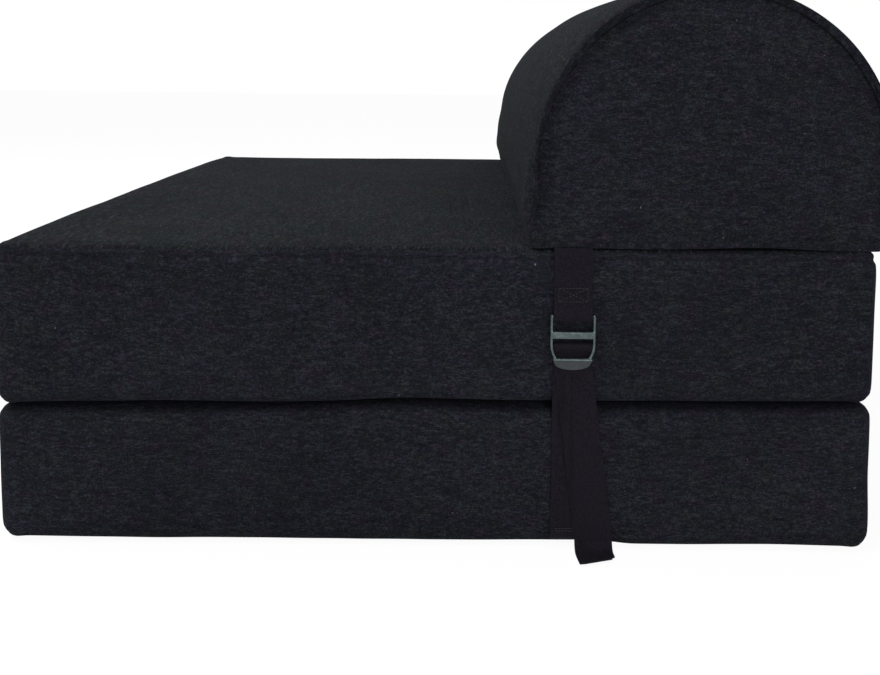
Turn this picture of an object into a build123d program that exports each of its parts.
from build123d import *
from math import cos, radians, sin
import os

# Folding foam chair bed: two foam sections stacked as a seat, with a bolster as the back.
# Millimetres. +X runs from the front of the seat to the back, +Z is up, and the origin
# lies on the floor, under the middle of the lower section.

# Sections
section_length = 889.0
section_width = 813.0
section_thickness = 152.0
section_gap = 0.6
side_draw = 2.0
plan_corner_radius = 26.0
outer_crown = 4.0
fold_crown = 2.0
crown_start_share = 0.05
crown_turn_share = 0.18
crown_end_share = 0.33
crown_turn_rise_share = 0.7
floor_edge_radius = 16.0
seat_edge_radius = 11.0
fold_edge_radius = 7.0
seam_height_share = 0.55

# Bolster
bolster_depth = 362.0
bolster_side_height = 82.0
bolster_overhang = 12.0
bolster_base_draw = 5.0
bolster_base_radius = 14.0
bolster_edge_radius = 8.0
bolster_end_clearance = 2.0
bolster_rest_gap = 0.3
end_seam_inset = 9.0

# Covers and foam
fabric_thickness = 1.5
foam_clearance = 0.3
cut_overrun = 20.0

# Fabric hinges
leaf_thickness = 1.0
leaf_gap = 0.3
front_leaf_height = 22.0
rear_leaf_height = 38.0
bolster_leaf_height = 70.0
leaf_end_margin = 40.0
leaf_bend_radius = 2.0

# Straps
strap_behind_front = 42.0
webbing_width = 38.0
webbing_thickness = 1.5
strap_face_gap = 0.5
bar_clearance = 0.3
strap_root_inset = 2.0
strap_root_height = 1.5
strap_bend_drop = 3.0
strap_corner_radius = 3.0
strap_flap_length = 34.0
strap_flap_gap = 0.3
strap_close_rise = 12.0
strap_step_rise = 14.0
lower_strap_start = 6.0

# Buckle, measured outward from the side face and down from the bolster's base
top_bar_drop = 67.0
top_bar_radius = 1.6
buckle_out = 4.6
buckle_half_width = 22.2
rail_width = 2.4
rail_back = 2.4
rail_front = 7.4
rail_top_rise = 3.0
rail_straight_drop = 26.0
crossbar_drop = 13.0
crossbar_height = 7.2
crossbar_depth = 2.4
locking_bar_drop = 29.2
locking_bar_height = 4.4
locking_bar_depth = 1.9
locking_bar_out = 3.65
lip_drop = 40.4
lip_height = 10.1
lip_back = 4.6
lip_front = 9.4
lip_half_width = 14.0
lip_bulge = 1.6
lip_back_drop = 30.5
buckle_edge_radius = 0.7

# Free tail of the lower strap
tail_gap = 0.4
tail_drift = 22.0
tail_reach = 33.0
tail_bend_radius = 9.0
tail_floor_gap = 0.3
tail_top_drop = 41.5
tail_middle_height_share = 0.6
tail_middle_drift_share = 0.35
tail_bend_drift_share = 0.95
tail_bend_degrees = 90

# Zips
zip_start_share = -0.76
zip_end_margin = 18.0
bolster_zip_length = 260.0
bolster_zip_height = 45.0
tape_width = 26.0
tape_thickness = 0.8
tape_gap = 0.3
coil_width = 6.0
coil_thickness = 1.2
slider_length = 10.0
slider_width = 9.0
slider_thickness = 2.6
slider_edge_radius = 0.8
slider_gap = 0.3
bridge_height = 3.6
bridge_span = 8.6
bridge_width = 2.4
bridge_thickness = 1.2
pull_length = 28.0
pull_width = 7.0
pull_thickness = 1.4
pull_root_radius = 0.7
pull_arm_width = 1.2
pull_window_length = 7.6
pull_corner_radius = 2.0

# Worked out from the sizes above
front_x = -section_length / 2
rear_x = section_length / 2
half_width = section_width / 2
upper_bottom = section_thickness + section_gap
upper_top = upper_bottom + section_thickness
bolster_base = upper_top + bolster_rest_gap
bolster_rear = rear_x + bolster_overhang
bolster_middle = bolster_rear - bolster_depth / 2
bolster_half_width = half_width - bolster_end_clearance
strap_x = bolster_middle - bolster_depth / 2 + strap_behind_front
bar_z = bolster_base - top_bar_drop


def side_position(x):
    """Distance of the drawn-in long side from the middle line, at a place along the section."""
    return half_width - side_draw * (1 - (x / rear_x) ** 2)


strap_face = side_position(strap_x)

os.makedirs("parts", exist_ok=True)


def keep(piece, name):
    """Label a finished piece and write it."""
    piece.part.label = name
    export_step(piece.part, f"parts/{name}.step")


# Foam sections and their covers

def plan_outline(inset):
    """Rectangle with drawn-in sides and rounded corners, seen from above."""
    x, y = rear_x - inset, half_width - inset
    with BuildSketch(mode=Mode.PRIVATE) as plan:
        with BuildLine():
            ThreePointArc((-x, -y), (0, side_draw - y), (x, -y))
            ThreePointArc((x, -y), (x - side_draw, 0), (x, y))
            ThreePointArc((x, y), (0, y - side_draw), (-x, y))
            ThreePointArc((-x, y), (side_draw - x, 0), (-x, -y))
        make_face()
        fillet(plan.vertices(), radius=plan_corner_radius - inset)
    return plan.sketch


def crown_block(level, rise, side):
    """Low hipped rise on a section's flat face, upward or downward, in two slopes."""
    with BuildPart(mode=Mode.PRIVATE) as block:
        for inset_share, rise_share in (
            (crown_start_share, 0),
            (crown_turn_share, crown_turn_rise_share),
            (crown_end_share, 1),
        ):
            with BuildSketch(Plane.XY.offset(level + side * rise * rise_share)):
                Rectangle(
                    section_length - 2 * inset_share * section_width,
                    section_width - 2 * inset_share * section_width,
                )
        loft(ruled=True)
    return block.part


def section_form(bottom, top, bottom_crown, top_crown, bottom_radius, top_radius, inset):
    """One section's solid, set in from the outside of its cover."""
    low = bottom + bottom_crown + inset
    high = top - top_crown - inset
    with BuildPart(mode=Mode.PRIVATE) as form:
        with BuildSketch(Plane.XY.offset(low)):
            add(plan_outline(inset))
        extrude(amount=high - low)
        fillet(form.faces().sort_by(Axis.Z)[-1].edges(), radius=top_radius - inset)
        fillet(form.faces().sort_by(Axis.Z)[0].edges(), radius=bottom_radius - inset)
        if top_crown:
            add(crown_block(high, top_crown, 1))
        if bottom_crown:
            add(crown_block(low, bottom_crown, -1))
    return form.part


def make_section(name, bottom, bottom_crown, top_crown, bottom_radius, top_radius):
    """Foam core, top panel, boxing band and bottom panel of one section."""
    top = bottom + section_thickness
    shape = (bottom, top, bottom_crown, top_crown, bottom_radius, top_radius)
    outside = section_form(*shape, 0)
    lining = section_form(*shape, fabric_thickness)
    top_seam = top - top_crown - top_radius * seam_height_share
    bottom_seam = bottom + bottom_crown + bottom_radius * seam_height_share

    with BuildPart() as core:
        add(section_form(*shape, fabric_thickness + foam_clearance))
    keep(core, f"{name}_foam_core")

    with BuildPart() as top_panel:
        add(outside)
        split(bisect_by=Plane.XY.offset(top_seam), keep=Keep.TOP)
        add(lining, mode=Mode.SUBTRACT)
    keep(top_panel, f"{name}_top_panel")

    with BuildPart() as band:
        add(outside)
        split(bisect_by=Plane.XY.offset(top_seam), keep=Keep.BOTTOM)
        split(bisect_by=Plane.XY.offset(bottom_seam), keep=Keep.TOP)
        add(lining, mode=Mode.SUBTRACT)
    keep(band, f"{name}_boxing_band")

    with BuildPart() as bottom_panel:
        add(outside)
        split(bisect_by=Plane.XY.offset(bottom_seam), keep=Keep.BOTTOM)
        add(lining, mode=Mode.SUBTRACT)
    keep(bottom_panel, f"{name}_bottom_panel")


make_section("lower", 0, 0, fold_crown, floor_edge_radius, fold_edge_radius)
make_section("upper", upper_bottom, fold_crown, outer_crown, fold_edge_radius, seat_edge_radius)


# Bolster

def bolster_profile(inset):
    """Round-topped section of the bolster, with its sides drawn in towards a flat base."""
    side = bolster_depth / 2
    spring = bolster_base + bolster_side_height
    foot = side - bolster_base_draw
    with BuildSketch(Plane.XZ, mode=Mode.PRIVATE) as profile:
        with BuildLine():
            ThreePointArc(
                (bolster_middle - side, spring),
                (bolster_middle, spring + side),
                (bolster_middle + side, spring),
            )
            right = TangentArc(
                (bolster_middle + side, spring), (bolster_middle + foot, bolster_base), tangent=(0, -1)
            )
            Line(right @ 1, (bolster_middle - foot, bolster_base))
            TangentArc(
                (bolster_middle - side, spring), (bolster_middle - foot, bolster_base), tangent=(0, -1)
            )
        make_face()
        fillet(profile.vertices().group_by(Axis.Y)[0], radius=bolster_base_radius)
        offset(amount=-inset, kind=Kind.INTERSECTION, mode=Mode.REPLACE)
    return profile.sketch


def bolster_form(inset):
    """The bolster's solid, set in from the outside of its cover."""
    with BuildPart(mode=Mode.PRIVATE) as form:
        with BuildSketch(Plane.XZ):
            add(bolster_profile(inset))
        extrude(amount=bolster_half_width - inset, both=True)
        ends = form.faces().filter_by(Axis.Y).edges()
        fillet(ends, radius=bolster_edge_radius - inset)
    return form.part


def make_bolster():
    """Foam core, wrap, base panel and the two end panels of the bolster."""
    outside = bolster_form(0)
    lining = bolster_form(fabric_thickness)
    end_start = bolster_half_width - bolster_edge_radius
    base_seam = bolster_base + bolster_base_radius * seam_height_share

    with BuildPart() as core:
        add(bolster_form(fabric_thickness + foam_clearance))
    keep(core, "bolster_foam_core")

    with BuildPart() as cover:
        add(outside)
        add(lining, mode=Mode.SUBTRACT)

    with BuildPart() as end_blocks:
        with BuildSketch(Plane.XZ):
            add(bolster_profile(end_seam_inset))
        extrude(amount=bolster_half_width + cut_overrun, both=True)
        with BuildSketch(Plane.XZ):
            add(bolster_profile(0))
        extrude(amount=end_start, both=True, mode=Mode.SUBTRACT)

    for name, side in (("near", -1), ("far", 1)):
        with BuildPart() as end_panel:
            add(cover.part)
            add(end_blocks.part, mode=Mode.INTERSECT)
            split(bisect_by=Plane.XZ, keep=Keep.TOP if side < 0 else Keep.BOTTOM)
        keep(end_panel, f"bolster_{name}_end_panel")

    with BuildPart() as wrap:
        add(cover.part)
        add(end_blocks.part, mode=Mode.SUBTRACT)
        split(bisect_by=Plane.XY.offset(base_seam), keep=Keep.TOP)
    keep(wrap, "bolster_wrap_panel")

    with BuildPart() as base:
        add(cover.part)
        add(end_blocks.part, mode=Mode.SUBTRACT)
        split(bisect_by=Plane.XY.offset(base_seam), keep=Keep.BOTTOM)
    keep(base, "bolster_base_panel")


make_bolster()


# Fabric hinges: each strip is two leaves that meet at the fold

def make_leaf(name, points, half_length, bend_radius):
    """Strip of fabric that follows points in the XZ plane, across the width."""
    with BuildPart() as leaf:
        with BuildSketch(Plane.XZ):
            with BuildLine():
                if len(points) > 2:
                    FilletPolyline(*points, radius=bend_radius)
                else:
                    Polyline(*points)
            trace(line_width=leaf_thickness)
        extrude(amount=half_length, both=True)
    keep(leaf, name)


leaf_half_length = half_width - leaf_end_margin
half_leaf = leaf_thickness / 2
front_leaf_x = front_x - leaf_gap - half_leaf
fold_z = section_thickness + section_gap / 2
rear_leaf_x = rear_x + leaf_gap + half_leaf
flap_x = bolster_rear + leaf_gap + half_leaf
flap_z = bolster_base - leaf_gap / 2

make_leaf(
    "lower_fold_leaf",
    [(front_leaf_x, fold_z - leaf_gap / 2), (front_leaf_x, fold_z - front_leaf_height)],
    leaf_half_length,
    leaf_bend_radius,
)
make_leaf(
    "upper_fold_leaf",
    [(front_leaf_x, fold_z + leaf_gap / 2), (front_leaf_x, fold_z + front_leaf_height)],
    leaf_half_length,
    leaf_bend_radius,
)
make_leaf(
    "upper_bolster_leaf",
    [
        (rear_leaf_x, flap_z - rear_leaf_height),
        (rear_leaf_x, flap_z - leaf_gap / 2 - half_leaf),
        (flap_x + half_leaf, flap_z - leaf_gap / 2 - half_leaf),
    ],
    leaf_half_length,
    leaf_bend_radius,
)
make_leaf(
    "bolster_leaf",
    [(flap_x, flap_z + leaf_gap / 2), (flap_x, flap_z + bolster_leaf_height)],
    leaf_half_length,
    leaf_bend_radius,
)


# Straps: drawn on a plane that runs outward from the side face, first for the near side

def strap_plane(side):
    """Plane whose x runs outward from one side face and whose y is up, at the strap's middle."""
    return Plane(origin=(strap_x, side * strap_face, 0), x_dir=(0, side, 0), z_dir=(side, 0, 0))


half_webbing = webbing_thickness / 2
strap_line = strap_face_gap + half_webbing
loop_radius = top_bar_radius + bar_clearance + half_webbing
locking_bar_z = bolster_base - locking_bar_drop - top_bar_drop
lock_turn_radius = locking_bar_out - strap_line


def make_upper_strap(name, side):
    """Webbing sewn at the bolster's end seam, looped round the buckle's top bar."""
    outer = buckle_out + loop_radius
    inner = buckle_out - loop_radius
    flap_line = inner + webbing_thickness + strap_flap_gap
    flap_top = bar_z + strap_flap_length
    with BuildPart() as strap:
        with BuildSketch(strap_plane(side)):
            with BuildLine():
                FilletPolyline(
                    (-strap_root_inset, bolster_base + strap_root_height),
                    (strap_line, bolster_base - strap_bend_drop),
                    (strap_line, flap_top + strap_step_rise),
                    (flap_line, flap_top),
                    (flap_line, bar_z + strap_close_rise),
                    (outer, bar_z + loop_radius),
                    (outer, bar_z),
                    radius=strap_corner_radius,
                )
                ThreePointArc((outer, bar_z), (buckle_out, bar_z - loop_radius), (inner, bar_z))
                Line((inner, bar_z), (inner, flap_top))
            trace(line_width=webbing_thickness)
        extrude(amount=webbing_width / 2, both=True)
    keep(strap, name)


def make_lower_strap(name, side):
    """Webbing sewn at the floor seam, up behind the buckle and over its locking bar."""
    turn_z = locking_bar_z + locking_bar_height / 2 - locking_bar_depth / 2
    front_line = locking_bar_out + lock_turn_radius
    tail_line = strap_line + webbing_thickness + tail_gap
    tail_z = bar_z - tail_top_drop
    with BuildPart() as strap:
        with BuildSketch(strap_plane(side)):
            with BuildLine():
                Line((strap_line, lower_strap_start), (strap_line, turn_z))
                ThreePointArc(
                    (strap_line, turn_z),
                    (locking_bar_out, turn_z + lock_turn_radius),
                    (front_line, turn_z),
                )
                FilletPolyline(
                    (front_line, turn_z),
                    (front_line, locking_bar_z - locking_bar_height / 2 + bar_clearance),
                    (tail_line, locking_bar_z - locking_bar_height / 2 - lock_turn_radius),
                    (tail_line, tail_z),
                    radius=webbing_thickness,
                )
            trace(line_width=webbing_thickness)
        extrude(amount=webbing_width / 2, both=True)
    keep(strap, name)


def make_tail(name, side):
    """Free end that hangs from the buckle, drifts towards the rear and lies on the floor."""
    tail_line = strap_line + webbing_thickness + tail_gap
    top_z = bar_z - tail_top_drop
    floor_z = tail_floor_gap + half_webbing
    bend_z = floor_z + tail_bend_radius
    full_turn = radians(tail_bend_degrees)
    half_turn = full_turn / 2
    stations = (
        (0, tail_line, top_z, 0),
        (tail_middle_drift_share, tail_line, top_z * tail_middle_height_share, 0),
        (tail_bend_drift_share, tail_line, bend_z, 0),
        (
            1,
            tail_line + tail_bend_radius * (1 - cos(half_turn)),
            bend_z - tail_bend_radius * sin(half_turn),
            half_turn,
        ),
        (1, tail_line + tail_bend_radius, floor_z, full_turn),
        (1, tail_reach, floor_z, full_turn),
    )
    with BuildPart() as tail:
        for drift_share, out, height, angle in stations:
            origin = (strap_x + tail_drift * drift_share, side * (strap_face + out), height)
            along = (0, side * sin(angle), -cos(angle))
            with BuildSketch(Plane(origin=origin, x_dir=(1, 0, 0), z_dir=along)):
                Rectangle(webbing_width, webbing_thickness)
        loft(ruled=True)
    keep(tail, name)


def make_buckle(name, side):
    """Ladder buckle: two rails, a round top bar, a crossbar, a locking bar and a thumb lip."""
    inner_half = buckle_half_width - rail_width
    rail_top = bar_z + rail_top_rise
    straight_z = bar_z - rail_straight_drop
    lip_top = bar_z - lip_drop
    lip_bottom = lip_top - lip_height
    crossbar_top = bar_z - crossbar_drop
    front = Plane(origin=(strap_x, side * strap_face, 0), x_dir=(1, 0, 0), z_dir=(0, side, 0))
    up = front.to_local_coords(Vector(strap_x, side * strap_face, 1)).Y

    def outline(inset):
        half = buckle_half_width - inset
        foot = lip_half_width - inset / 2
        with BuildSketch(mode=Mode.PRIVATE) as shape:
            with BuildLine():
                Polyline((-half, up * straight_z), (-half, up * rail_top), (half, up * rail_top))
                Line((half, up * rail_top), (half, up * straight_z))
                right = TangentArc(
                    (half, up * straight_z), (foot, up * (lip_bottom + inset)), tangent=(0, -up)
                )
                ThreePointArc(
                    right @ 1, (0, up * (lip_bottom + inset - lip_bulge)), (-foot, up * (lip_bottom + inset))
                )
                TangentArc(
                    (-half, up * straight_z), (-foot, up * (lip_bottom + inset)), tangent=(0, -up)
                )
            make_face()
        return shape.sketch

    with BuildPart() as buckle:
        with BuildSketch(front.offset(rail_back)):
            add(outline(0))
        extrude(amount=rail_front - rail_back)
        with BuildSketch(front.offset(rail_back)):
            add(outline(rail_width))
        extrude(amount=rail_front - rail_back, mode=Mode.SUBTRACT)
        with BuildSketch(front.offset(lip_back)):
            add(outline(0))
            with Locations((0, up * (lip_top + top_bar_drop / 2))):
                Rectangle(2 * buckle_half_width, top_bar_drop, mode=Mode.SUBTRACT)
        extrude(amount=lip_front - lip_back)
        lip_face = buckle.faces().sort_by(Axis.Y, reverse=side > 0)[0]
        fillet(lip_face.edges(), radius=buckle_edge_radius)
        with BuildSketch(front.offset(rail_back)):
            with Locations((0, up * (bar_z - lip_back_drop - cut_overrun))):
                Rectangle(2 * buckle_half_width, 2 * cut_overrun)
        extrude(amount=lip_back - rail_back, mode=Mode.SUBTRACT)
        with BuildSketch(front.offset(rail_front - crossbar_depth)):
            with Locations((0, up * (crossbar_top - crossbar_height / 2))):
                Rectangle(2 * inner_half + rail_width, crossbar_height)
        extrude(amount=crossbar_depth)
        with BuildSketch(strap_plane(side)):
            with Locations((buckle_out, bar_z)):
                Circle(top_bar_radius)
            with Locations((locking_bar_out, locking_bar_z)):
                SlotOverall(locking_bar_height, locking_bar_depth, rotation=90)
        extrude(amount=inner_half + rail_width / 2, both=True)
    keep(buckle, name)


for side_name, side in (("near", -1), ("far", 1)):
    make_upper_strap(f"{side_name}_upper_strap", side)
    make_lower_strap(f"{side_name}_lower_strap", side)
    make_tail(f"{side_name}_strap_tail", side)
    make_buckle(f"{side_name}_buckle", side)


# Zips: tape and coil, slider and pull, on the far side of each cover

def make_tape(name, start_x, end_x, height, position):
    """Two layers that follow the face: the tape, and the coil along its middle."""
    with BuildPart() as tape:
        for width, thickness, gap in (
            (tape_width, tape_thickness, tape_gap),
            (coil_width, coil_thickness, tape_gap + tape_thickness),
        ):
            middle_x = (start_x + end_x) / 2
            out = gap + thickness / 2
            with BuildSketch(Plane.XY.offset(height - width / 2)):
                with BuildLine():
                    if position(start_x) == position(middle_x):
                        Line((start_x, position(start_x) + out), (end_x, position(end_x) + out))
                    else:
                        ThreePointArc(
                            (start_x, position(start_x) + out),
                            (middle_x, position(middle_x) + out),
                            (end_x, position(end_x) + out),
                        )
                trace(line_width=thickness)
            extrude(amount=width)
    keep(tape, name)


def make_slider(name, x, height, coil_face):
    """Slider body that rides on the coil, with the bridge that holds the pull."""
    back = coil_face + slider_gap
    face = Plane(origin=(x, back, height), x_dir=(-1, 0, 0), z_dir=(0, 1, 0))
    with BuildPart() as slider:
        with BuildSketch(face):
            RectangleRounded(slider_length, slider_width, slider_edge_radius)
        extrude(amount=slider_thickness)
        with BuildSketch(face.offset(slider_thickness)):
            RectangleRounded(bridge_span, bridge_width, slider_edge_radius)
        extrude(amount=bridge_height)
        with BuildSketch(face.offset(slider_thickness)):
            Rectangle(bridge_span - 2 * bridge_thickness, bridge_width)
        extrude(amount=bridge_height - bridge_thickness, mode=Mode.SUBTRACT)
    keep(slider, name)


def pull_axis_out(coil_face):
    """How far out the pull's root bar lies, in the middle of the bridge's opening."""
    return coil_face + slider_gap + slider_thickness + (bridge_height - bridge_thickness) / 2


def make_pull(name, x, height, coil_face):
    """Pull tab whose root bar lies under the bridge."""
    axis_y = pull_axis_out(coil_face)
    half_window = bridge_width / 2 + bar_clearance
    arm_middle = half_window + pull_arm_width / 2
    face = Plane(origin=(x, axis_y - pull_thickness / 2, height), x_dir=(-1, 0, 0), z_dir=(0, 1, 0))
    with BuildPart() as pull:
        with BuildSketch(face):
            with Locations((pull_window_length / 2, arm_middle), (pull_window_length / 2, -arm_middle)):
                Rectangle(pull_window_length, pull_arm_width)
            with Locations((pull_window_length, arm_middle), (pull_window_length, -arm_middle)):
                Rectangle(2 * pull_corner_radius, pull_arm_width)
            with Locations(((pull_window_length + pull_length) / 2, 0)):
                RectangleRounded(pull_length - pull_window_length, pull_width, pull_corner_radius)
        extrude(amount=pull_thickness)
        with BuildSketch(Plane.XY.offset(height)):
            with Locations((x, axis_y)):
                Circle(pull_root_radius)
        extrude(amount=half_window + pull_arm_width, both=True)
    keep(pull, name)


def end_position(x):
    """The bolster's end face is flat."""
    return bolster_half_width


section_zip_start = rear_x * zip_start_share
section_zip_end = strap_x - webbing_width / 2 - zip_end_margin - slider_length / 2
bolster_zip_start = bolster_middle - bolster_zip_length / 2
bolster_zip_end = bolster_middle + bolster_zip_length / 2
zips = (
    ("lower", section_zip_start, section_zip_end, section_thickness / 2, side_position),
    ("upper", section_zip_start, section_zip_end, upper_bottom + section_thickness / 2, side_position),
    ("bolster", bolster_zip_start, bolster_zip_end, bolster_base + bolster_zip_height, end_position),
)
for zip_name, start_x, end_x, height, position in zips:
    slider_x = start_x + slider_length
    coil_face = position(slider_x) + tape_gap + tape_thickness + coil_thickness
    make_tape(f"{zip_name}_zip_tape", start_x, end_x, height, position)
    make_slider(f"{zip_name}_zip_slider", slider_x, height, coil_face)
    make_pull(f"{zip_name}_zip_pull", slider_x, height, coil_face)
